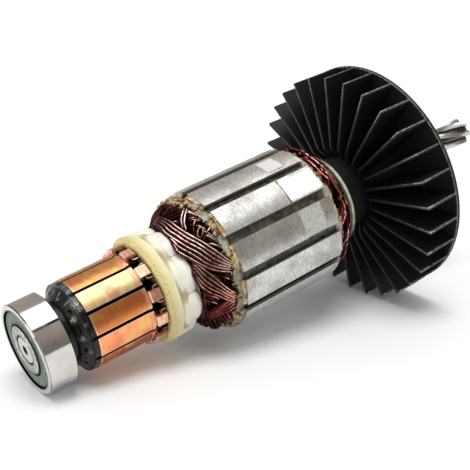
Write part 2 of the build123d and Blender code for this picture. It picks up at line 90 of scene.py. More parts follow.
# Angles of the first pole and the first slot, and the end of the cut on the fresh pole
POLE_PHASE = 11.3
SLOT_PHASE = 26.3
CUT_STATION = 68.25

# Fan: its blades' front edges rise evenly from the collar outwards
BLADE_COUNT = 29
FAN_RADIUS = 31.0
FAN_COLLAR_RADIUS = 12.6
BLADE_EDGE_START = 94.0
BLADE_SLOPE = 1.8 / 18.7
FAN_RIM_STATION = 105.8
FAN_BACK_STATION = 106.3


# Colours and nodes
def tone(red, green, blue):
    """Linear colour from the usual 0 to 255 values."""
    parts = [value / 255 for value in (red, green, blue)]
    linear = [part / 12.92 if part <= 0.04045 else ((part + 0.055) / 1.055) ** 2.4 for part in parts]
    return (*linear, 1.0)


class Value:
    """What a node gives. Sums, products and the like of it are Math nodes."""

    def __init__(self, tree, socket):
        self.tree = tree
        self.socket = socket

    def calc(self, operation, *others):
        return new_value(self.tree, "ShaderNodeMath", dict(enumerate((self, *others))), operation=operation)

    def __add__(self, other):
        return self.calc("ADD", other)

    def __sub__(self, other):
        return self.calc("SUBTRACT", other)

    def __rsub__(self, other):
        return new_value(self.tree, "ShaderNodeMath", {0: other, 1: self}, operation="SUBTRACT")

    def __mul__(self, other):
        return self.calc("MULTIPLY", other)

    def __truediv__(self, other):
        return self.calc("DIVIDE", other)

    def __abs__(self):
        return self.calc("ABSOLUTE")

    def fraction(self):
        return self.calc("FRACT")

    def larger(self, other):
        return self.calc("MAXIMUM", other)

    def below(self, limit):
        return self.calc("LESS_THAN", limit)

    def ramp(self, low, high, start=0.0, end=1.0):
        """Value from low to high as start to end, clamped and smooth."""
        inputs = {"Value": self, "From Min": low, "From Max": high, "To Min": start, "To Max": end}
        return new_value(self.tree, "ShaderNodeMapRange", inputs, "Result", interpolation_type="SMOOTHSTEP")


def add(tree, kind, inputs=None, **settings):
    """New node with its settings, and its inputs as numbers, colours or links."""
    made = tree.nodes.new(kind)
    for name, value in settings.items():
        setattr(made, name, value)
    for name, value in (inputs or {}).items():
        if isinstance(value, Value):
            value = value.socket
        if isinstance(value, bpy.types.NodeSocket):
            tree.links.new(value, made.inputs[name])
        else:
            made.inputs[name].default_value = value
    return made


def new_value(tree, kind, inputs=None, output=0, **settings):
    """Value that one output of a new node gives."""
    return Value(tree, add(tree, kind, inputs, **settings).outputs[output])


def blend(tree, share, first, second):
    """Colour between two colours, which have three parts up to 255 or four linear ones."""
    pair = [tone(*side) if isinstance(side, tuple) and len(side) == 3 else side for side in (first, second)]
    return new_value(tree, "ShaderNodeMix", {0: share, 6: pair[0], 7: pair[1]}, 2, data_type="RGBA")


def part_along(tree, vector, direction):
    """Part of a vector along a direction."""
    inputs = {0: vector, 1: direction}
    return new_value(tree, "ShaderNodeVectorMath", inputs, "Value", operation="DOT_PRODUCT")


def shaft_group():
    """Group that gives a point's station, radius and angle on the shaft, in mm and turns."""
    group = bpy.data.node_groups.new("Shaft coordinates", "ShaderNodeTree")
    for name in ("Station", "Radius", "Turn", "Outward"):
        group.interface.new_socket(name, in_out="OUTPUT", socket_type="NodeSocketFloat")
    group.interface.new_socket("Point", in_out="OUTPUT", socket_type="NodeSocketVector")
    texture = add(group, "ShaderNodeTexCoord").outputs
    offset = new_value(group, "ShaderNodeVectorMath", {0: texture["Object"], 1: FRONT}, operation="SUBTRACT")
    in_mm = new_value(group, "ShaderNodeVectorMath", {0: offset, "Scale": 1 / MM}, operation="SCALE")
    upward = part_along(group, in_mm, UP)
    sideward = part_along(group, in_mm, SIDE)
    radius = (upward * upward + sideward * sideward).calc("SQRT")
    turned_up = part_along(group, texture["Normal"], UP) * upward
    turned_aside = part_along(group, texture["Normal"], SIDE) * sideward
    results = {
        "Station": part_along(group, in_mm, SHAFT),
        "Radius": radius,
        "Turn": (sideward.calc("ARCTAN2", upward) / math.tau + 1.0).fraction(),
        "Outward": (turned_up + turned_aside) / radius.larger(0.1),
        "Point": in_mm,
    }
    add(group, "NodeGroupOutput", results)
    return group


SHAFT_GROUP = shaft_group()


class Look:
    """Material in the making: its colour so far, and where a point is on the shaft."""

    def __init__(self, name, **shader_values):
        self.material = bpy.data.materials.new(name)
        self.material.use_nodes = True
        self.tree = self.material.node_tree
        self.shader = self.tree.nodes["Principled BSDF"]
        for socket, value in shader_values.items():
            self.shader.inputs[socket.replace("_", " ")].default_value = value
        shaft = add(self.tree, "ShaderNodeGroup", node_tree=SHAFT_GROUP).outputs
        self.station = Value(self.tree, shaft["Station"])
        self.radius = Value(self.tree, shaft["Radius"])
        self.turn = Value(self.tree, shaft["Turn"])
        self.outward = Value(self.tree, shaft["Outward"])
        self.point = Value(self.tree, shaft["Point"])
        self.colour = None

    def fleck(self, vector, scale, detail=3.0, rough=0.55):
        """Noise from 0 to 1."""
        inputs = {"Vector": vector, "Scale": scale, "Detail": detail, "Roughness": rough}
        return new_value(self.tree, "ShaderNodeTexNoise", inputs, "Fac")

    def stretched(self, along, across, around):
        """Vector for a texture that is stretched along the shaft, outwards or around it."""
        inputs = {"X": self.station * along, "Y": self.radius * across, "Z": self.turn * around}
        return new_value(self.tree, "ShaderNodeCombineXYZ", inputs)

    def fibres(self):
        """Noise of fibres that lie along the shaft."""
        return self.fleck(self.stretched(1.2, 4.0, 60.0), 1.0, 4.0, 0.6)

    def spot(self, centre, size, waver):
        """Ragged spot around a station, a radius and an angle, from 0 to 1."""
        ends = {0: self.point, 1: (place(*centre) - FRONT) / MM}
        apart = new_value(self.tree, "ShaderNodeVectorMath", ends, "Value", operation="DISTANCE")
        return (waver * (size * 5.0) + apart).ramp(size * 3.5, size * 2.6)

    def bars(self):
        """Number of the bar or pole, and how far a point is from its middle, as a share of the pitch."""
        bars = (self.turn - (POLE_PHASE - COIL_PITCH / 2) / 360 + 1.0).fraction() * BAR_COUNT
        return bars.calc("FLOOR"), abs(bars.fraction() - 0.5)

    def away_from(self, middle):
        """Turns between a point and an angle that is itself in turns."""
        return abs((self.turn + (0.5 - middle)).fraction() - 0.5)

    def mix(self, share, first, second):
        return blend(self.tree, share, first, second)

    def start(self, share, first, second):
        """Sets the colour between two colours."""
        self.colour = self.mix(share, first, second)

    def paint(self, share, colour):
        """Lays a share of another colour over the colour so far."""
        self.colour = self.mix(share, self.colour, colour)

    def bump(self, height, strength, distance=0.05):
        """Normal from a height, with the distance in mm."""
        inputs = {"Height": height, "Strength": strength, "Distance": distance * MM}
        return new_value(self.tree, "ShaderNodeBump", inputs, "Normal")

    def finish(self, roughness, normal=None, metallic=None):
        """Links what varies over the surface to the shader, and gives the material."""
        linked = {"Base Color": self.colour, "Roughness": roughness, "Normal": normal, "Metallic": metallic}
        for socket, value in linked.items():
            if value is not None:
                self.tree.links.new(value.socket, self.shader.inputs[socket])
        return self.material


# Metals of the shaft and the bearing
def shaft_steel():
    """Turned steel with fine rings, an oily base of the pinion, and painted shade in the grooves between the
    teeth and in the centre hole.
    """
    look = Look("shaft_steel", Metallic=1.0)
    station, radius = look.station, look.radius
    rings = look.fleck(look.stretched(9.0, 0.2, 0.6), 1.0, 2.0)
    stain = look.fleck(look.point, 0.35, 4.0)
    oily = station.ramp(PINION_START - 9, PINION_START - 5) * station.ramp(PINION_START + 7, PINION_START + 2)
    look.start(stain.ramp(0.3, 0.6) * (oily * 0.85 + 0.12), (204, 202, 198), (110, 86, 62))
    # Painted shade down the grooves between the pinion's teeth
    toothed = station.ramp(PINION_START + 0.2, PINION_START + 0.8)
    groove = radius.ramp(3.1, 2.6) * toothed
    look.paint(groove * 0.85, (44, 40, 36))
    # Painted shade in the centre hole at the front end of the shaft
    look.paint(radius.ramp(1.3, 1.0) * station.ramp(4, 3), (30, 28, 26))
    return look.finish(rings.ramp(0.2, 0.8, 0.2, 0.36), look.bump(rings, 0.25, 0.02))


def bearing_steel():
    """Ground steel with hair-fine lines around it, painted shade along the outer ring's corners, and painted
    shade in the gaps beside the seal and at the bore.
    """
    look = Look("bearing_steel", Metallic=1.0)
    station, radius = look.station, look.radius
    lines = look.fleck(look.stretched(14.0, 6.0, 0.8), 1.0, 3.0)
    smear = look.fleck(look.point, 0.22, 3.0)
    look.start(smear.ramp(0.4, 0.75, 0.0, 0.35), (218, 216, 214), (176, 169, 160))
    # Thin lines of painted shade along the outer ring's front and rear corners
    outermost = radius.ramp(BEARING_RADIUS - 0.24, BEARING_RADIUS - 0.12)
    front_corner_shade = outermost * station.ramp(0.3, 0.22)
    rear_corner_shade = outermost * station.ramp(FRONT_BEARING_WIDTH - 0.3, FRONT_BEARING_WIDTH - 0.22)
    look.paint(front_corner_shade.larger(rear_corner_shade) * smear.ramp(0.3, 0.6, 0.5, 1.0), (52, 50, 48))
    mottle = look.fleck(look.point, 0.9, 4.0)
    inner_face = radius.ramp(6.3, 6.2) * station.ramp(0.12, 0.05)
    look.paint(inner_face, look.mix(mottle.ramp(0.36, 0.62), (206, 206, 200), (122, 122, 114)))
    # Near-black rings of painted shade on the front, in the gaps beside the seal and at the edge of the bore
    outer_line = radius.ramp(9.86, 9.74) * radius.ramp(8.9, 9.0)
    inner_line = radius.ramp(5.72, 5.84) * radius.ramp(6.6, 6.5)
    bore_line = (mottle * 0.8 + radius).ramp(4.3, 4.15)
    shade_rings = outer_line.larger(inner_line).larger(bore_line) * station.ramp(1.3, 1.2)
    look.paint(shade_rings, (16, 18, 17))
    rough = inner_face * 0.22 + smear.ramp(0.3, 0.75, 0.06, 0.14)
    return look.finish(rough, look.bump(lines, 0.12, 0.01))


def ball_steel():
    """Polished balls."""
    look = Look("ball_steel", Metallic=1.0)
    grease = look.fleck(look.point, 0.9, 2.0).ramp(0.45, 0.7)
    look.start(grease, (222, 221, 220), (176, 160, 128))
    return look.finish(grease.ramp(0.0, 1.0, 0.07, 0.25))


def cage_steel():
    """Pressed sheet of the cage, greased."""
    look = Look("cage_steel", Metallic=1.0)
    grease = look.fleck(look.point, 1.3, 3.0).ramp(0.4, 0.7)
    look.start(grease, (176, 170, 160), (138, 118, 84))
    return look.finish(grease.ramp(0.0, 1.0, 0.25, 0.4))


def seal_rubber():
    """Grey-green seal with a dusty film, and painted shade in the gaps along its edges."""
    look = Look("seal", Specular_IOR_Level=0.45)
    film = look.fleck(look.point, 0.8, 4.0)
    circles = look.fleck(look.stretched(1.0, 5.0, 0.5), 1.0, 2.0)
    look.start(film.ramp(0.35, 0.65), (88, 116, 98), (140, 160, 140))
    # Near black along the seal's outer and inner edges: painted shade in the gaps beside the rings
    look.paint(look.radius.ramp(9.0, 9.1).larger(look.radius.ramp(6.62, 6.5)), (8, 10, 9))
    return look.finish(film.ramp(0.3, 0.8, 0.42, 0.6), look.bump(circles, 0.25, 0.03))


# Pale spots on the front of the commutator, dusty specks but for the one at 67 degrees, a painted glint:
# station, radius and angle, size, and how strong it is
DUST_AND_GLINT_SPOTS = [
    ((11.7, 10.5, 40), 0.9, 0.9),
    ((11.8, 10.5, 47), 0.7, 0.7),
    ((9.9, 9.0, 54), 0.9, 0.8),
    ((10.2, 9.3, 84), 0.7, 0.6),
    # A painted glint, not a speck
    ((11.6, 10.4, 67), 0.45, 0.8),
    ((11.0, 9.8, 106), 0.6, 0.4),
]


# Commutator
def black_moulding():
    """Black moulding compound, with painted glints along the top of the collar, a painted bluish sheen on the
    top of the band, pale dusty specks with one painted glint among them, and painted shade in the slots
    between the bars.
    """
    look = Look("black_moulding", Specular_IOR_Level=0.42)
    grain = look.fleck(look.point, 3.2, 6.0, 0.65)
    patch = look.fleck(look.point, 0.55, 4.0, 0.6)
    streak = look.fleck(look.stretched(0.4, 0.4, 70.0), 1.0, 1.0)
    dust_and_glints = patch.ramp(0.62, 0.72) * grain.ramp(0.5, 0.64)
    for centre, size, strength in DUST_AND_GLINT_SPOTS:
        dust_and_glints = dust_and_glints.larger(look.spot(centre, size, grain) * strength)
    from_top = look.away_from(0.04)
    # Painted glints in streaks along the top of the collar
    rib_glints = streak.ramp(0.58, 0.66) * from_top.ramp(0.08, 0.05) * look.station.ramp(9.2, 9.5)
    # Painted sheen, bluish grey, on the top of the band
    sheen = from_top.ramp(0.1, 0.05) * look.station.ramp(11.3, 11.5)
    look.start(sheen * 0.5, (9, 9, 10), (92, 96, 106))
    look.paint(rib_glints * 0.7, (134, 136, 140))
    look.paint(look.spot((9.6, 8.9, 43), 0.8, grain), (84, 66, 48))
    # Pale dusty specks, and the one painted glint
    look.paint(dust_and_glints, (206, 200, 182))
    # Painted shade: the moulding in the slots between the bars is near black and reflects next to nothing
    slots = look.station.ramp(BAR_START + 0.05, BAR_START + 0.15)
    look.paint(slots, (5, 4, 4))
    rough = slots * 0.4 + patch.ramp(0.35, 0.65, 0.18, 0.4)
    return look.finish(rough, look.bump(grain, 0.35, 0.1), slots)


# Colours of the bars in turn, from the topmost one towards the near side: heat tint together with painted
# reflection, with the pale second bar a painted highlight and the dark fifth painted shade
BAR_TINTS_AND_REFLECTIONS = [
    (242, 152, 106),
    (252, 222, 170),
    (234, 146, 80),
    (255, 168, 118),
    (176, 92, 66),
    (222, 136, 88),
    (206, 116, 72),
    (234, 160, 104),
    (192, 100, 60),
    (228, 146, 98),
    (200, 110, 66),
    (236, 168, 112),
]


def commutator_copper():
    """Copper bars, each with its own heat tint and painted reflection, polished by the brushes, with painted
    highlights along their edges and painted shade down their flanks.
    """
    look = Look("commutator_copper", Metallic=1.0)
    station, radius = look.station, look.radius
    number, middle = look.bars()
    # Each bar's colour: heat tint together with painted reflection
    tints_and_reflections = add(look.tree, "ShaderNodeValToRGB", {"Fac": (number + 0.5) / BAR_COUNT})
    tints_and_reflections.color_ramp.interpolation = "CONSTANT"
    stops = tints_and_reflections.color_ramp.elements
    stops[0].color = tone(*BAR_TINTS_AND_REFLECTIONS[0])
    stops[1].position = 1 / BAR_COUNT
    stops[1].color = tone(*BAR_TINTS_AND_REFLECTIONS[1])
    for bar in range(2, BAR_COUNT):
        stops.new(bar / BAR_COUNT).color = tone(*BAR_TINTS_AND_REFLECTIONS[bar])
    look.colour = Value(look.tree, tints_and_reflections.outputs["Color"])
    cloud = look.fleck(look.point, 0.24, 3.0, 0.5)
    rings = look.fleck(look.stretched(7.0, 0.5, 3.0), 1.0, 3.0)
    scuff = look.fleck(look.stretched(2.0, 1.0, 40.0), 1.0, 4.0)
    mottle = look.fleck(look.stretched(0.9, 1.0, 14.0), 1.0, 3.0)
    look.paint(cloud.ramp(0.48, 0.66, 0.0, 0.5), (240, 214, 112))
    look.paint(cloud.ramp(0.48, 0.34, 0.0, 0.5), (226, 128, 92))
    look.paint(mottle.ramp(0.5, 0.8, 0.0, 0.4), (176, 88, 44))
    track_end = station.ramp(TRACK_END, TRACK_END + 0.25)
    outside = radius.ramp(BAR_RADIUS - 1.7, BAR_RADIUS - 1.3)
    # Painted highlight along the bars' side and front edges
    side_edge_highlight = middle.ramp(0.4, 0.415) * outside
    front_edge_highlight = station.ramp(BAR_START + 0.5, BAR_START + 0.1) * outside
    look.paint(side_edge_highlight.larger(front_edge_highlight) * 0.75, (255, 226, 178))
    riser = look.mix(scuff.ramp(0.3, 0.7), (255, 230, 212), (214, 146, 122))
    riser = look.mix(0.35, riser, look.colour)
    # Painted highlight along the edges of the risers
    riser_edge_highlight = look.outward.ramp(0.9, 0.7) * look.outward.ramp(0.3, 0.5)
    look.paint(track_end, look.mix(riser_edge_highlight, riser, (255, 240, 226)))
    # Painted shade down the bars' flanks, deep between the bars
    flank_shade = radius.ramp(BAR_RADIUS - 1.9, BAR_RADIUS - 2.3)
    look.paint(flank_shade * 0.7, (70, 34, 26))
    rough = track_end * 0.1 + rings.ramp(0.25, 0.75, 0.26, 0.38)
    return look.finish(rough, look.bump(rings, 0.25, 0.02))


# Windings
def enamelled_wire():
    """Enamelled copper wire, dark maroon, with a painted highlight along the outer side of each wire, dimmer
    away from the top of the winding.
    """
    coat = {"Coat_Weight": 0.22, "Coat_Roughness": 0.12, "Specular_Tint": tone(150, 70, 66)}
    look = Look("enamelled_wire", Metallic=1.0, **coat)
    shade = look.fleck(look.point, 0.3, 3.0)
    drop = look.fleck(look.point, 1.1, 2.0)
    # Painted highlight along each wire's outer side, where its surface faces away from the shaft
    wander = look.fleck(look.point, 0.7, 2.0) * 0.1 + look.outward
    crest_highlight = wander.ramp(0.95, 1.03) * drop.ramp(0.66, 0.46, 0.35, 1.0)
    rear = look.station.ramp(STACK_END - 2, STACK_END)
    # The painted highlight is dimmer away from the top of the winding
    low = look.turn.ramp(0.17, 0.3)
    bright = look.mix(shade.ramp(0.36, 0.56), (246, 176, 164), (255, 238, 232))
    bright = look.mix(low, bright, (224, 152, 140))
    bright = look.mix(rear, bright, (246, 184, 170))
    look.start(shade.ramp(0.35, 0.65), (46, 14, 15), (94, 30, 29))
    look.paint(rear, (96, 24, 20))
    look.paint(crest_highlight, bright)
    return look.finish(drop.ramp(0.3, 0.7, 0.18, 0.32), look.bump(drop, 0.1, 0.04))


def bundle_core():
    """Inner wires of the bundles, painted near black as the shade between the separate wires, with faint
    strands.
    """
    look = Look("bundle_core", Specular_IOR_Level=0.12)
    shade = look.fleck(look.point, 0.9, 4.0)
    strands = look.fleck(look.stretched(1.6, 2.5, 50.0), 1.0, 2.0)
    look.start(shade.ramp(0.4, 0.75), (9, 3, 4), (26, 9, 9))
    look.paint(strands.ramp(0.54, 0.66, 0.0, 0.7), (92, 34, 32))
    return look.finish(shade.ramp(0.3, 0.7, 0.35, 0.55), look.bump(strands, 0.9, 0.4))


# Light that sinks into the resin and the binding
CREAMY = {"Subsurface_Weight": 0.2, "Subsurface_Radius": (0.0012, 0.0009, 0.0005), "Subsurface_Scale": 1.0}


def cream_resin():
    """Cream resin over the leads, olive towards the hooks and darker yellow down in the low groove behind the
    rim.
    """
    look = Look("resin", **CREAMY)
    station, radius = look.station, look.radius
    patch = look.fleck(look.point, 0.3, 4.0)
    speck = look.fleck(look.point, 2.2, 5.0, 0.65)
    outwards = patch * 2.4 + (radius - 1.2)
    front = look.mix(outwards.ramp(11.0, 13.2), (158, 142, 88), (248, 234, 170))
    along = patch * 2.4 + (station - 1.2)
    rim = look.mix(along.ramp(RESIN_START + 0.2, RESIN_START + 4.4), (234, 216, 148), (254, 250, 230))
    look.start(station.ramp(RESIN_START + 0.1, RESIN_START + 0.5), front, rim)
    # Darker yellow down in the low groove behind the rim
    low = (patch * 0.9 + radius).ramp(13.75, 12.95)
    valley = low * station.ramp(RESIN_START + 2.6, RESIN_START + 3.6)
    look.paint(valley * 0.75, (176, 160, 104))
    near_hooks = station.ramp(RESIN_START + 1.4, RESIN_START)
    look.paint(speck.ramp(0.54, 0.66) * (near_hooks * 0.6 + 0.15), (112, 102, 62))
    return look.finish(speck.ramp(0.3, 0.7, 0.35, 0.55), look.bump(speck, 0.5, 0.16))


def cream_binding():
    """Creamy varnished binding with darker seams."""
    look = Look("binding", **CREAMY)
    patch = look.fleck(look.point, 0.35, 4.0)
    speck = look.fleck(look.point, 2.8, 5.0, 0.6)
    look.start(patch.ramp(0.45, 0.75), (255, 252, 240), (244, 236, 206))
    seam = look.radius.ramp(12.35, 12.12) * speck.ramp(0.3, 0.55, 0.4, 1.0)
    look.paint(seam * 0.75, (96, 84, 58))
    return look.finish(patch.ramp(0.3, 0.7, 0.3, 0.5), look.bump(speck, 0.3, 0.12))


def amber_varnish():
    """Runs and lumps of amber and grey varnish."""
    look = Look("amber_varnish", Coat_Weight=0.7, Coat_Roughness=0.1)
    patch = look.fleck(look.point, 0.9, 4.0)
    other = look.fleck(look.stretched(0.8, 0.8, 30.0), 1.0, 3.0)
    grain = look.fleck(look.point, 4.0, 4.0)
    look.start(patch.ramp(0.4, 0.62), (84, 56, 32), (216, 176, 116))
    look.paint(other.ramp(0.5, 0.62, 0.0, 0.8), (182, 178, 154))
    look.paint(look.station.ramp(STACK_END - 2, STACK_END) * 0.7, (56, 42, 34))
    return look.finish(grain.ramp(0.3, 0.7, 0.22, 0.5), look.bump(grain, 0.7, 0.2))


def paper(name, light, dark):
    """Fibrous sheet, such as the slot paper or the sleeve."""
    look = Look(name)
    fibres = look.fibres()
    patch = look.fleck(look.point, 0.5, 4.0)
    look.start(patch.ramp(0.3, 0.7), light, dark)
    look.paint(fibres.ramp(0.5, 0.8, 0.0, 0.4), dark)
    return look.finish(fibres.ramp(0.3, 0.7, 0.48, 0.72), look.bump(fibres, 0.5, 0.08))


def patchy_disc():
    """Insulating disc: torn pale sheet with amber varnish and dark gaps."""
    look = Look("insulator")
    patch = look.fleck(look.point, 0.75, 5.0, 0.65)
    other = look.fleck(look.stretched(0.8, 0.8, 26.0), 1.0, 4.0, 0.6)
    look.start(patch.ramp(0.44, 0.56), (192, 148, 92), (228, 222, 194))
    look.paint(other.ramp(0.46, 0.4), (52, 44, 32))
    return look.finish(patch.ramp(0.3, 0.7, 0.35, 0.6), look.bump(patch, 0.8, 0.25))


def fibre_washer():
    """Pale fibre washer, browned with varnish away from its near side."""
    look = Look("fibre_washer")
    fibres = look.fibres()
    patch = look.fleck(look.point, 0.5, 4.0)
    look.start(patch.ramp(0.3, 0.7), (214, 218, 194), (166, 164, 134))
    browned = (patch * 0.06 + abs(look.turn - 0.19)).ramp(0.13, 0.19)
    look.paint(browned, (74, 52, 40))
    return look.finish(fibres.ramp(0.3, 0.7, 0.45, 0.65), look.bump(fibres, 0.5, 0.08))


def slot_wedge():
    """Wedge sheet: pale where its tongue stands out of the stack, and painted shade with paler streaks where
    it lies within the slot.
    """
    look = Look("slot_wedge")
    fibres = look.fibres()
    patch = look.fleck(look.point, 0.6, 4.0)
    behind_front = look.station.ramp(STACK_START - 0.3, STACK_START + 0.3)
    slot_shade = behind_front * look.station.ramp(STACK_END + 0.3, STACK_END - 0.3)
    look.start(patch.ramp(0.35, 0.7), (178, 178, 156), (128, 122, 94))
    streak = look.fleck(look.stretched(0.5, 1.0, 150.0), 1.0, 4.0, 0.65)
    # Painted shade, with paler streaks, over the wedge within the slot
    dark = look.mix(patch.ramp(0.35, 0.65), (96, 91, 78), (38, 35, 29))
    dark = look.mix(streak.ramp(0.5, 0.68, 0.0, 0.6), dark, (132, 127, 110))
    look.paint(slot_shade, dark)
    return look.finish(fibres.ramp(0.3, 0.7, 0.3, 0.5), look.bump(fibres, 0.5, 0.08))


def laminations():
    """Edges of the stacked sheets, turned bright, darker along the poles' edges by the slots, with painted
    shade on the slot walls, and milled places with painted shade where a cut ends.
    """
    look = Look("laminations", Metallic=0.9)
    station, radius = look.station, look.radius
    ridge = abs((station * 2.0).fraction() - 0.5)
    ragged = look.fleck(look.stretched(4.0, 0.4, 90.0), 1.0, 4.0, 0.7)
    smear = look.fleck(look.point, 0.16, 4.0)
    number, middle = look.bars()
    line = ridge.ramp(0.3, 0.46) * ragged.ramp(0.44, 0.56)
    look.start(smear.ramp(0.35, 0.7), (226, 225, 223), (190, 187, 181))
    look.paint(line * 0.85, (52, 50, 46))
    margin = middle.ramp(0.36, 0.385) * ragged.ramp(0.42, 0.6, 0.2, 0.8)
    look.paint(margin * 0.5, (96, 92, 84))
    lip = middle.ramp(0.372, 0.38)
    look.paint(lip * ragged.ramp(0.44, 0.54, 0.25, 0.95), (244, 243, 240))
    # Painted shade on the slot walls below the poles' faces
    slot_wall_shade = radius.ramp(STACK_RADIUS - 0.7, STACK_RADIUS - 0.95)
    look.paint(slot_wall_shade, (58, 54, 44))
    milled = radius.ramp(STACK_RADIUS - 0.04, STACK_RADIUS - 0.1)
    milled = milled * station.ramp(STACK_START + 18, STACK_START + 19) * (1.0 - slot_wall_shade)
    fresh = abs(number - 1.0).below(0.5)
    across = middle.ramp(0.37, 0.36)
    cut_tone = look.mix(ragged.ramp(0.42, 0.6, 0.0, 0.5), (226, 226, 216), (128, 128, 118))
    cut_tone = look.mix(number.below(0.5), cut_tone, (246, 245, 240))
    dull_cut = milled * across * (1.0 - fresh)
    look.paint(dull_cut * 0.85, cut_tone)
    look.paint(milled * fresh, (232, 231, 229))
    # A line of painted shade at the step where the cut on the fresh pole ends
    step_shade = abs(station - CUT_STATION).ramp(0.22, 0.1)
    look.paint(step_shade * fresh * across, (20, 19, 18))
    rough = line * 0.2 + smear.ramp(0.3, 0.7, 0.27, 0.4)
    height = line * -1.0 + ragged * 0.3
    return look.finish(rough, look.bump(height, 0.5, 0.06), dull_cut * -0.6 + 0.9)


def fan_plastic():
    """Matt black plastic, with a painted grey highlight along one corner of the blades' edges and of the rim,
    strongest towards the top.
    """
    look = Look("fan_plastic", Specular_IOR_Level=0.36)
    station, radius = look.station, look.radius
    grain = look.fleck(look.point, 3.0, 5.0, 0.6)
    chips = look.fleck(look.point, 1.3, 5.0, 0.7)
    edge_station = radius * BLADE_SLOPE + (BLADE_EDGE_START - FAN_COLLAR_RADIUS * BLADE_SLOPE)
    from_edge = station - edge_station
    beyond_collar = radius.ramp(FAN_COLLAR_RADIUS - 0.4, FAN_COLLAR_RADIUS + 0.3)
    # The painted highlight is dimmed away from the top and towards the hub
    dimming = look.away_from(0.08).ramp(0.14, 0.28, 1.0, 0.2) * radius.ramp(14, 27, 0.25, 1.0)
    front_edge_highlight = from_edge.ramp(0.25, 0.1) * (beyond_collar * dimming)
    before_rim = station.ramp(FAN_RIM_STATION + 0.1, FAN_RIM_STATION - 0.1)
    outer_edge = radius.ramp(FAN_RADIUS - 0.25, FAN_RADIUS - 0.1) * before_rim
    from_blade = (look.turn * BLADE_COUNT + 0.5).fraction() - 0.5
    aside = from_blade * (radius * (math.tau / BLADE_COUNT))
    wander = chips * 0.5 - 0.25
    edge = front_edge_highlight.larger(outer_edge) * (aside + wander).ramp(0.05, -0.1)
    before_back = (station + wander).ramp(FAN_BACK_STATION, FAN_BACK_STATION - 0.15)
    on_rim = station.ramp(FAN_RIM_STATION, FAN_RIM_STATION + 0.15) * before_back
    edge = edge.larger(radius.ramp(FAN_RADIUS - 0.3, FAN_RADIUS - 0.15) * on_rim)
    corner = radius.ramp(27.0, FAN_RADIUS - 0.5) * from_edge.ramp(3.5, 1.0)
    outer_part = corner * 0.5 + radius.ramp(22.0, FAN_RADIUS, 0.3, 1.0) * 0.5
    # Painted grey highlight along the edges, broken up
    edge_highlight = edge * outer_part * chips.ramp(0.42, 0.58, 0.12, 1.0)
    look.start(grain.ramp(0.35, 0.7), (9, 10, 11), (21, 22, 23))
    circles = look.fleck(look.stretched(0.5, 2.2, 2.0), 1.0, 3.0)
    smudge = look.fleck(look.point, 0.12, 4.0, 0.6)
    back = station.ramp(FAN_BACK_STATION, FAN_BACK_STATION + 0.3) * smudge.ramp(0.42, 0.62)
    look.paint(back * circles.ramp(0.3, 0.7, 0.4, 1.0) * 0.6, (58, 58, 57))
    look.paint(edge_highlight, (186, 190, 190))
    return look.finish(grain.ramp(0.3, 0.7, 0.45, 0.65), look.bump(grain, 0.5, 0.12))


WIRE = enamelled_wire()
VARNISH = amber_varnish()
finishes = {
    "shaft_steel": shaft_steel(),
    "bearing_steel": bearing_steel(),
    "ball_steel": ball_steel(),
    "cage_steel": cage_steel(),
    "seal": seal_rubber(),
    "black_moulding": black_moulding(),
    "commutator_copper": commutator_copper(),
    "enamelled_wire": bundle_core(),
    "resin": cream_resin(),
    "binding": cream_binding(),
    "sleeve": paper("sleeve", (120, 108, 74), (86, 76, 50)),
    "laminations": laminations(),
    "insulator": patchy_disc(),
    "slot_paper": paper("slot_paper", (146, 146, 128), (98, 96, 78)),
    "slot_wedge": slot_wedge(),
    "fibre_washer": fibre_washer(),
    "fan_plastic": fan_plastic(),
}


def dress_nodes():
    """Gives every CAD node the finish that its record slot names."""
    slots = {}
    for part in frame["record"]["subparts"]:
        slots[part["node"]] = part.get("material_slot") or part.get("material")
    for name, node in nodes.items():
        node.data.materials.clear()
        node.data.materials.append(WIRE if name == "lead_wires" else finishes[slots[name]])
        for polygon in node.data.polygons:
            polygon.use_smooth = True


# Pieces made here
def new_object(name, data):
    """Object in the scene."""
    made = bpy.data.objects.new(name, data)
    scene.collection.objects.link(made)
    return made


def new_piece(name, vertices, faces, finish):
    """Smooth piece that rides on the armature, with its finish."""
    mesh = bpy.data.meshes.new(name)
    mesh.from_pydata(vertices, [], faces)
    mesh.materials.append(finish)
    mesh.update()
    for polygon in mesh.polygons:
        polygon.use_smooth = True
    piece = new_object(name, mesh)
    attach(piece, "armature")
    return piece


def smooth_line(points, per_span=4):
    """Points of a smooth curve through the given points."""
    line = []
    last = len(points) - 1
    for index in range(last):
        before = points[max(index - 1, 0)]
        start = points[index]
        end = points[index + 1]
        after = points[min(index + 2, last)]
        for step in range(per_span):
            share = step / per_span
            square = share * share
            cube = square * share
            line.append(
                0.5
                * (
                    2 * start
                    + (end - before) * share
                    + (2 * before - 5 * start + 4 * end - after) * square
                    + (3 * start - before - 3 * end + after) * cube
                )
            )
    line.append(points[last])
    return line


def add_tube(vertices, faces, line, radius, sides=8):
    """Adds a closed tube along a line to the lists of a mesh."""
    first = len(vertices)
    side = outward_at(0) + outward_at(90)
    for index, point in enumerate(line):
        ahead = line[min(index + 1, len(line) - 1)] - line[max(index - 1, 0)]
        ahead.normalize()
        side = side - ahead * side.dot(ahead)
        side.normalize()
        across = ahead.cross(side)
        for corner in range(sides):
            turn = math.tau * corner / sides
            vertices.append(point + (side * math.cos(turn) + across * math.sin(turn)) * radius)
    for ring in range(len(line) - 1):
        for corner in range(sides):
            near = first + ring * sides + corner
            near_next = first + ring * sides + (corner + 1) % sides
            faces.append((near, near_next, near_next + sides, near + sides))
    faces.append(tuple(first + corner for corner in reversed(range(sides))))
    faces.append(tuple(first + (len(line) - 1) * sides + corner for corner in range(sides)))


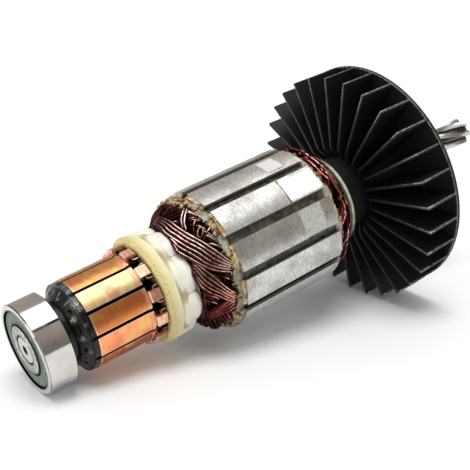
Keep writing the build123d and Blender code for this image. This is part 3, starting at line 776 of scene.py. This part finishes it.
def add_bands(faces, first, bands, sides):
    """Adds the faces between rings of vertices to the list of a mesh."""
    for band in range(bands):
        for corner in range(sides):
            near = first + band * sides + corner
            near_next = first + band * sides + (corner + 1) % sides
            faces.append((near, near + sides, near_next + sides, near_next))


def surface_of(name):
    """Search tree of a CAD node's surface."""
    mesh = nodes[name].data
    return BVHTree.FromPolygons([v.co for v in mesh.vertices], [p.vertices for p in mesh.polygons])


def surface_radius(tree, station, angle):
    """Radius of a surface's outside at a station and an angle, in mm, or 0 where there is none."""
    hit = tree.ray_cast(place(station, STACK_RADIUS + 6, angle), -outward_at(angle))
    if hit[0] is None:
        return 0.0
    offset = (hit[0] - FRONT) / MM
    return (offset - SHAFT * offset.dot(SHAFT)).length


def outside_radius(trees, station, angle):
    """Greatest radius of some surfaces at a station and an angle, in mm."""
    return max(surface_radius(tree, station, angle) for tree in trees)


COILS = [surface_of(f"coil_{coil + 1:02d}") for coil in range(COIL_COUNT)]
WIRE_RADIUS = 0.42

# Below this radius a ray has passed through between the coils
GAP_RADIUS = NOSE_RADIUS * 0.55

# First and last wire of a broad bundle: distance from the stack, angle from the coil's slot
BROAD_FIRST = [(1.2, -4.5), (2.1, -7.0), (3.5, -18.0), (4.8, -36.0), (5.9, -54.0), (7.0, -70.0), (7.9, -84.0)]
BROAD_LAST = [(1.2, 4.5), (2.1, 1.5), (3.5, -8.0), (5.6, -17.0), (7.2, -30.0), (8.0, -44.0), (8.3, -60.0)]

# The same for a bundle that mostly lies under the others
NARROW_FIRST = [(1.2, -4.5), (2.2, -9.0), (3.5, -19.0), (4.9, -31.0), (6.5, -45), (7.7, -58), (8.2, -70)]
NARROW_LAST = [(1.2, 4.5), (2.3, 1.0), (4.1, -5.0), (6.2, -11.0), (7.5, -20.0), (8.2, -32.0), (8.4, -46.0)]

# Number of wires that show in a bundle, and how far they stand out along it
BROAD_WIRES = 7
NARROW_WIRES = 5
LIFTS = (-0.5, -0.25, 0.12, 0.2, 0.1, -0.15, -0.5)
BROAD_LIFT = 0.38

# Radius from which a wire sinks where no coil is found, and how far it sinks at each point
FIRST_RADIUS = 15.9
SINK = 0.8


def winding_wires(name, face, outward, broad_coils):
    """Separate wires over the coils' ends on one side of the stack."""
    vertices = []
    faces = []
    for coil in range(COIL_COUNT):
        leg_angle = SLOT_PHASE + coil * COIL_PITCH
        broad = coil in broad_coils
        first, last = (BROAD_FIRST, BROAD_LAST) if broad else (NARROW_FIRST, NARROW_LAST)
        count = BROAD_WIRES if broad else NARROW_WIRES
        bundle_lift = BROAD_LIFT if broad else random.uniform(-0.1, 0.12)
        for wire in range(count):
            share = wire / (count - 1)
            own_lift = bundle_lift + random.uniform(-0.05, 0.12)
            points = []
            known = FIRST_RADIUS
            for (near, near_angle), (far, far_angle), lift in zip(first, last, LIFTS):
                along = share + random.uniform(-0.02, 0.02)
                distance = near + (far - near) * along
                angle = leg_angle + near_angle + (far_angle - near_angle) * along
                station = face + outward * distance
                found = outside_radius(COILS, station, angle)
                known = found if found > GAP_RADIUS else known - SINK
                points.append(place(station, known + lift + own_lift, angle))
            add_tube(vertices, faces, smooth_line(points), WIRE_RADIUS * MM)
    return new_piece(name, vertices, faces, WIRE)


# Bundles on the near side that cross over the others: station, radius and angle along some of their wires
CROSSING_BUNDLES = [
    {
        0: [
            (43.0, 11.5, -34), (41.6, 14.2, -14), (41.0, 14.9, 9.6), (41.1, 14.9, 21.3),
            (41.6, 15.1, 30.6), (42.2, 15.4, 38.9), (43.1, 15.8, 45.7), (43.9, 16.2, 53.3),
            (44.9, 16.5, 60), (46.1, 16.7, 67), (47.4, 16.4, 73),
        ],
        3: [
            (42.0, 11.2, -34), (40.4, 13.5, -14), (38.9, 13.9, 8), (38.5, 13.9, 18),
            (38.8, 14.0, 27.8), (39.3, 14.1, 35.5), (40.3, 14.4, 45.1), (41.2, 14.9, 52),
            (42.6, 15.6, 63.5), (44.2, 16.3, 70), (46.8, 16.4, 76),
        ],
        5: [
            (41.6, 10.8, -30), (40.6, 12.2, -8), (39.6, 13.0, 14), (38.7, 13.3, 26),
            (38.1, 13.6, 35), (37.8, 13.8, 42.5), (38.6, 13.9, 49), (39.6, 14.2, 56.5),
            (41.3, 15.0, 66.8), (43.3, 15.9, 73.5), (46.2, 16.4, 79),
        ],
    },
    {
        0: [
            (39.6, 13.9, 58), (40.2, 14.4, 64), (41.0, 14.8, 70.1), (42.1, 15.4, 77.6),
            (43.4, 16.0, 86), (44.9, 16.4, 94), (46.6, 16.2, 100),
        ],
        4: [
            (38.6, 13.3, 68), (38.7, 13.8, 75), (39.2, 14.0, 83.1), (40.5, 14.6, 90.4),
            (42.1, 15.3, 95.2), (44.0, 16.1, 102), (46.2, 16.2, 108),
        ],
    },
    {
        0: [
            (40.4, 14.1, 116.5), (41.1, 14.9, 113.4), (41.9, 15.3, 109.9), (42.7, 15.7, 106.9),
            (43.6, 16.0, 104.3), (44.6, 16.3, 102.2), (45.8, 16.2, 100),
        ],
        3: [
            (40.5, 14.1, 125), (41.4, 14.9, 121), (42.2, 15.3, 118), (43.0, 15.7, 116),
            (43.8, 16.1, 114.5), (44.7, 16.4, 113.5), (45.8, 16.3, 112),
        ],
    },
]

# Loose turns on top of the winding, in the same way
LOOSE_TURNS = [
    [(45.9, 16.3, 10), (45.0, 16.6, 12.4), (43.7, 16.3, 16), (42.5, 15.9, 20.5), (41.8, 15.3, 27)],
    [(46.2, 16.3, 12), (45.4, 16.7, 14.3), (43.9, 16.4, 19), (42.6, 16.0, 24.4), (41.9, 15.5, 31)],
    [
        (43.0, 16.0, 42.9), (43.3, 16.2, 39), (44.2, 16.5, 36.5), (44.9, 16.7, 36.8), (44.7, 16.7, 39.3),
        (43.9, 16.4, 42.5), (43.2, 15.9, 43.8),
    ],
    [(46.8, 16.6, 39.5), (45.8, 16.8, 41.5), (44.8, 16.5, 43), (44.0, 15.9, 45.5)],
    [(45.6, 16.0, 25.0), (44.9, 16.5, 28.0), (43.9, 16.3, 31.0), (43.2, 15.5, 36.0)],
    [(46.4, 16.2, 30.5), (45.4, 16.7, 30.0), (44.5, 16.4, 26.0), (43.9, 15.8, 22.0)],
    [(39.2, 13.5, 95), (39.9, 14.4, 98.5), (40.9, 14.9, 101), (41.9, 14.9, 105)],
    [(39.4, 13.6, 89), (40.3, 14.6, 93), (41.4, 15.1, 96), (42.3, 15.1, 100)],
]

# How far the lower layer of a bundle lies under the upper one
LAYER_DROP = 0.72


def crossing_wires():
    """Separate wires of the crossing bundles, in two layers, and the loose turns."""
    vertices = []
    faces = []
    for bundle in CROSSING_BUNDLES:
        guides = sorted(bundle)
        for layer in range(2):
            for wire in range(guides[-1] + 1 - layer):
                number = wire + layer / 2
                low = max(guide for guide in guides if guide <= number)
                high = min(guide for guide in guides if guide >= number)
                share = (number - low) / (high - low) if high > low else 0.0
                own_lift = random.uniform(-0.08, 0.08)
                points = []
                for first, second in zip(bundle[low], bundle[high]):
                    station, radius, angle = (a + (b - a) * share for a, b in zip(first, second))
                    station += random.uniform(-0.07, 0.07)
                    points.append(place(station, radius + own_lift - layer * LAYER_DROP, angle))
                add_tube(vertices, faces, smooth_line(points), WIRE_RADIUS * MM)
    for turn in LOOSE_TURNS:
        add_tube(vertices, faces, smooth_line([place(*point) for point in turn], 5), WIRE_RADIUS * 0.85 * MM)
    return new_piece("crossing_wires", vertices, faces, WIRE)


# Bundle behind the stack: number of wires, distance from the stack, distance between wires and drift
# backwards at each point, then the first angle, the angle between points and the number of points
REAR_WIRES = 5
REAR_DISTANCE = 1.4
REAR_SPACING = 0.92
REAR_DRIFT = 0.2
REAR_FROM = -14
REAR_STEP = 9
REAR_POINTS = 12


def rear_crossing_wires():
    """Separate wires of the bundle that runs round behind the stack."""
    vertices = []
    faces = []
    for wire in range(REAR_WIRES):
        points = []
        known = NOSE_RADIUS
        for step in range(REAR_POINTS):
            angle = REAR_FROM + REAR_STEP * step
            station = STACK_END + REAR_DISTANCE + REAR_SPACING * wire + REAR_DRIFT * step
            station += random.uniform(-0.08, 0.08)
            found = outside_radius(COILS, station, angle)
            known = found if found > GAP_RADIUS else known - SINK / 2
            at_end = step in (0, REAR_POINTS - 1)
            lift = -0.7 if at_end else 0.65 + random.uniform(-0.06, 0.1)
            points.append(place(station, min(known + lift, STACK_RADIUS - 1), angle))
        add_tube(vertices, faces, smooth_line(points), WIRE_RADIUS * MM)
    return new_piece("crossing_wires_rear", vertices, faces, WIRE)


# Resin that has run over the ring's rim and the front of the binding
SKIN_TURNS = 180
SKIN_ROWS = 26
SKIN_LENGTH = 7.0
SKIN_EVEN_OUT = 4
SKIN_LIFT = 0.2


def evened(rows):
    """Radii of the skin's rows, each drawn towards its neighbours."""
    even = []
    for row, own in enumerate(rows):
        before = rows[max(row - 1, 0)]
        after = rows[min(row + 1, SKIN_ROWS - 1)]
        sums = []
        for turn in range(SKIN_TURNS):
            beside = own[turn - 1] + own[(turn + 1) % SKIN_TURNS]
            sums.append((before[turn] + after[turn] + own[turn] * 2 + beside) / 6)
        even.append(sums)
    return even


def resin_skin():
    """Uneven skin that rounds the ring's rim and fills the groove behind it."""
    trees = [surface_of("lead_resin"), surface_of("lead_binding")]
    stations = [RESIN_START + 0.25 + SKIN_LENGTH * row / (SKIN_ROWS - 1) for row in range(SKIN_ROWS)]
    angles = [360 * turn / SKIN_TURNS for turn in range(SKIN_TURNS)]
    bare = [[outside_radius(trees, station, angle) for angle in angles] for station in stations]
    even = bare
    for step in range(SKIN_EVEN_OUT):
        even = evened(even)
    rim = max(bare[0])
    front_rows = [(0.1, rim - 1.5), (-0.12, rim - 1.1), (-0.1, rim - 0.35)]
    vertices = []
    for behind, radius in front_rows:
        for angle in angles:
            wave = noise.noise(outward_at(angle) * 3.0) * 0.4
            vertices.append(place(RESIN_START + behind, radius + wave, angle))
    for row, station in enumerate(stations):
        for turn, angle in enumerate(angles):
            way = outward_at(angle)
            end = 4.4 + 2.2 * noise.noise(way * 2.2)
            past = min(max((station - RESIN_START - end) / 2.0, 0.0), 1.0)
            lift = SKIN_LIFT - 0.5 * past * past * (3 - 2 * past)
            lift += 0.16 * noise.noise(way * 5.0 + SHAFT * station * 0.5)
            radius = max(even[row][turn], bare[row][turn]) + lift
            vertices.append(place(station, radius, angle))
    faces = []
    add_bands(faces, 0, SKIN_ROWS + len(front_rows) - 1, SKIN_TURNS)
    return new_piece("resin_skin", vertices, faces, finishes["resin"])


# Crumbs of varnish at each pole or slot: their number, the angle of the first pole or slot, the draw of
# the angle from there, and the ranges of distance from the stack, size and radius
CRUMB_KINDS = [
    (20, POLE_PHASE, lambda: random.triangular(-11, 11, 0), (0.3, 1.6), (0.4, 1.0), (15.6, 16.8)),
    (14, POLE_PHASE, lambda: random.uniform(-11, 11), (0.0, 0.6), (0.2, 0.42), (16.7, 17.4)),
    (
        6, SLOT_PHASE, lambda: random.choice((-1, 1)) * random.uniform(4, 7.5),
        (1.2, 2.6), (0.25, 0.5), (15.6, 16.3),
    ),
]
CRUMBS_ON_TOP = 90
CRUMB_RINGS = 5
CRUMB_SIDES = 8


def add_crumb(vertices, faces, centre, size, seed):
    """Adds a small uneven lump to the lists of a mesh."""
    first = len(vertices)
    squash = Vector((random.uniform(0.7, 1.2), random.uniform(0.7, 1.2), random.uniform(0.6, 1.0)))
    for ring in range(CRUMB_RINGS + 1):
        polar = math.pi * ring / CRUMB_RINGS
        for corner in range(CRUMB_SIDES):
            turn = math.tau * corner / CRUMB_SIDES
            direction = Vector(
                (math.sin(polar) * math.cos(turn), math.sin(polar) * math.sin(turn), math.cos(polar))
            )
            wobble = 1 + 0.35 * noise.noise(direction * 1.7 + Vector((seed, 0, 0)))
            vertices.append(centre + Vector(a * b for a, b in zip(direction, squash)) * size * wobble)
    add_bands(faces, first, CRUMB_RINGS, CRUMB_SIDES)


def varnish_crumbs():
    """Lumps of varnish between the winding and the stack, at both ends."""
    vertices = []
    faces = []
    numbers = itertools.count(1)

    def add_one(station, angle, sizes, radii):
        size = random.uniform(*sizes) * MM
        centre = place(station, random.uniform(*radii), angle)
        add_crumb(vertices, faces, centre, size, next(numbers) * 3.1)

    for face, outward in ((STACK_START, -1), (STACK_END, 1)):
        for pole in range(COIL_COUNT):
            for count, phase, draw, distances, sizes, radii in CRUMB_KINDS:
                for crumb in range(count):
                    angle = phase + pole * COIL_PITCH + draw()
                    station = face + outward * random.uniform(*distances)
                    add_one(station, angle, sizes, radii)
    for crumb in range(CRUMBS_ON_TOP):
        angle = random.uniform(-48, 10)
        station = random.triangular(44.0, 48.4, 47.2)
        add_one(station, angle, (0.28, 0.62), (16.2, 17.0))
    return new_piece("varnish_crumbs", vertices, faces, VARNISH)


# Stage
CAMERA_AZIMUTH = -35.93
CAMERA_ELEVATION = 17.90
CAMERA_ROLL = -1.289
CAMERA_DISTANCE = 0.238773
CAMERA_AIM = FRONT + Vector((57.791, 0, 14.6462)) * MM
CAMERA_LENS = 73.364
FLOOR_HALF = 4.0
WHITE = (1, 1, 1, 1)

# Softbox over the shaft: its first and last angle and its light, then the light from all around
SOFTBOX_FROM = -22.0
SOFTBOX_TO = 27.0
SOFTBOX_LIGHT = 2.0
FILL_LIGHT = 0.62

# Lamp: its power, its width in degrees and the direction that it shines from
LAMP_POWER = 1.55
LAMP_WIDTH = 32
LAMP_FROM = Vector((-0.12, -0.2, 0.96))


def make_camera():
    """Camera at the photograph's viewing angle."""
    data = bpy.data.cameras.new("camera")
    data.lens = CAMERA_LENS
    data.clip_start = 0.01
    data.clip_end = 20
    camera = new_object("camera", data)
    azimuth = math.radians(CAMERA_AZIMUTH)
    elevation = math.radians(CAMERA_ELEVATION)
    back = Vector(
        (
            math.sin(azimuth) * math.cos(elevation),
            -math.cos(azimuth) * math.cos(elevation),
            math.sin(elevation),
        )
    )
    camera.location = CAMERA_AIM + back * CAMERA_DISTANCE
    look = (-back).to_track_quat("-Z", "Y")
    camera.rotation_mode = "QUATERNION"
    camera.rotation_quaternion = look @ Euler((0, 0, math.radians(CAMERA_ROLL))).to_quaternion()
    scene.camera = camera


def make_floor():
    """Plain pale floor, white to the camera and in reflections."""
    corners = [(x * FLOOR_HALF, y * FLOOR_HALF, 0) for x, y in ((-1, -1), (1, -1), (1, 1), (-1, 1))]
    mesh = bpy.data.meshes.new("floor")
    mesh.from_pydata(corners, [], [(0, 1, 2, 3)])
    floor = new_object("floor", mesh)
    made = bpy.data.materials.new("floor")
    made.use_nodes = True
    tree = made.node_tree
    tree.nodes.clear()
    rays = add(tree, "ShaderNodeLightPath").outputs
    seen = Value(tree, rays["Is Camera Ray"]).larger(rays["Is Glossy Ray"])
    seen = seen.larger(rays["Is Transmission Ray"])
    colour = blend(tree, seen, (0.7, 0.7, 0.69, 1), WHITE)
    diffuse = new_value(tree, "ShaderNodeBsdfDiffuse", {"Color": colour})
    add(tree, "ShaderNodeOutputMaterial", {"Surface": diffuse})
    mesh.materials.append(made)


def make_room():
    """White background, and a studio with one long softbox over the shaft for reflections."""
    world = bpy.data.worlds.new("studio")
    scene.world = world
    world.use_nodes = True
    tree = world.node_tree
    tree.nodes.clear()
    direction = add(tree, "ShaderNodeTexCoord").outputs["Generated"]
    aside = part_along(tree, direction, SIDE)
    angle = aside.calc("ARCTAN2", part_along(tree, direction, UP)).calc("DEGREES")
    border = abs(angle - (SOFTBOX_TO + 4.0)).ramp(3.6, 2.4)
    softbox = angle.ramp(SOFTBOX_FROM - 9, SOFTBOX_FROM) * angle.ramp(SOFTBOX_TO + 0.8, SOFTBOX_TO)
    walls = blend(tree, angle.ramp(34, 88), (176, 168, 160), (132, 123, 113))
    walls = blend(tree, angle.ramp(-88, -108), walls, WHITE)
    walls = blend(tree, border, walls, (30, 28, 26))
    shown = blend(tree, softbox, walls, (SOFTBOX_LIGHT, SOFTBOX_LIGHT, SOFTBOX_LIGHT, 1))

    def background(colour, strength):
        return new_value(tree, "ShaderNodeBackground", {"Color": colour, "Strength": strength})

    rays = add(tree, "ShaderNodeLightPath").outputs
    reflected = Value(tree, rays["Is Glossy Ray"]).larger(rays["Is Transmission Ray"])
    mirrored = {0: reflected, 1: background(WHITE, FILL_LIGHT), 2: background(shown, 1.0)}
    lit = new_value(tree, "ShaderNodeMixShader", mirrored)
    seen = {0: rays["Is Camera Ray"], 1: lit, 2: background(WHITE, 1.0)}
    add(tree, "ShaderNodeOutputWorld", {"Surface": new_value(tree, "ShaderNodeMixShader", seen)})


def make_light():
    """One wide soft lamp where the softbox is."""
    data = bpy.data.lights.new("softbox", "SUN")
    data.energy = LAMP_POWER
    data.angle = math.radians(LAMP_WIDTH)
    lamp = new_object("softbox", data)
    lamp.rotation_mode = "QUATERNION"
    lamp.rotation_quaternion = LAMP_FROM.normalized().to_track_quat("Z", "Y")
    lamp.visible_glossy = False


make_camera()
dress_nodes()
winding_wires("winding_wires_front", STACK_START, -1, (8,))
winding_wires("winding_wires_rear", STACK_END, 1, (2, 8))
crossing_wires()
rear_crossing_wires()
resin_skin()
varnish_crumbs()
make_floor()
make_room()
make_light()
scene.view_settings.view_transform = "Standard"
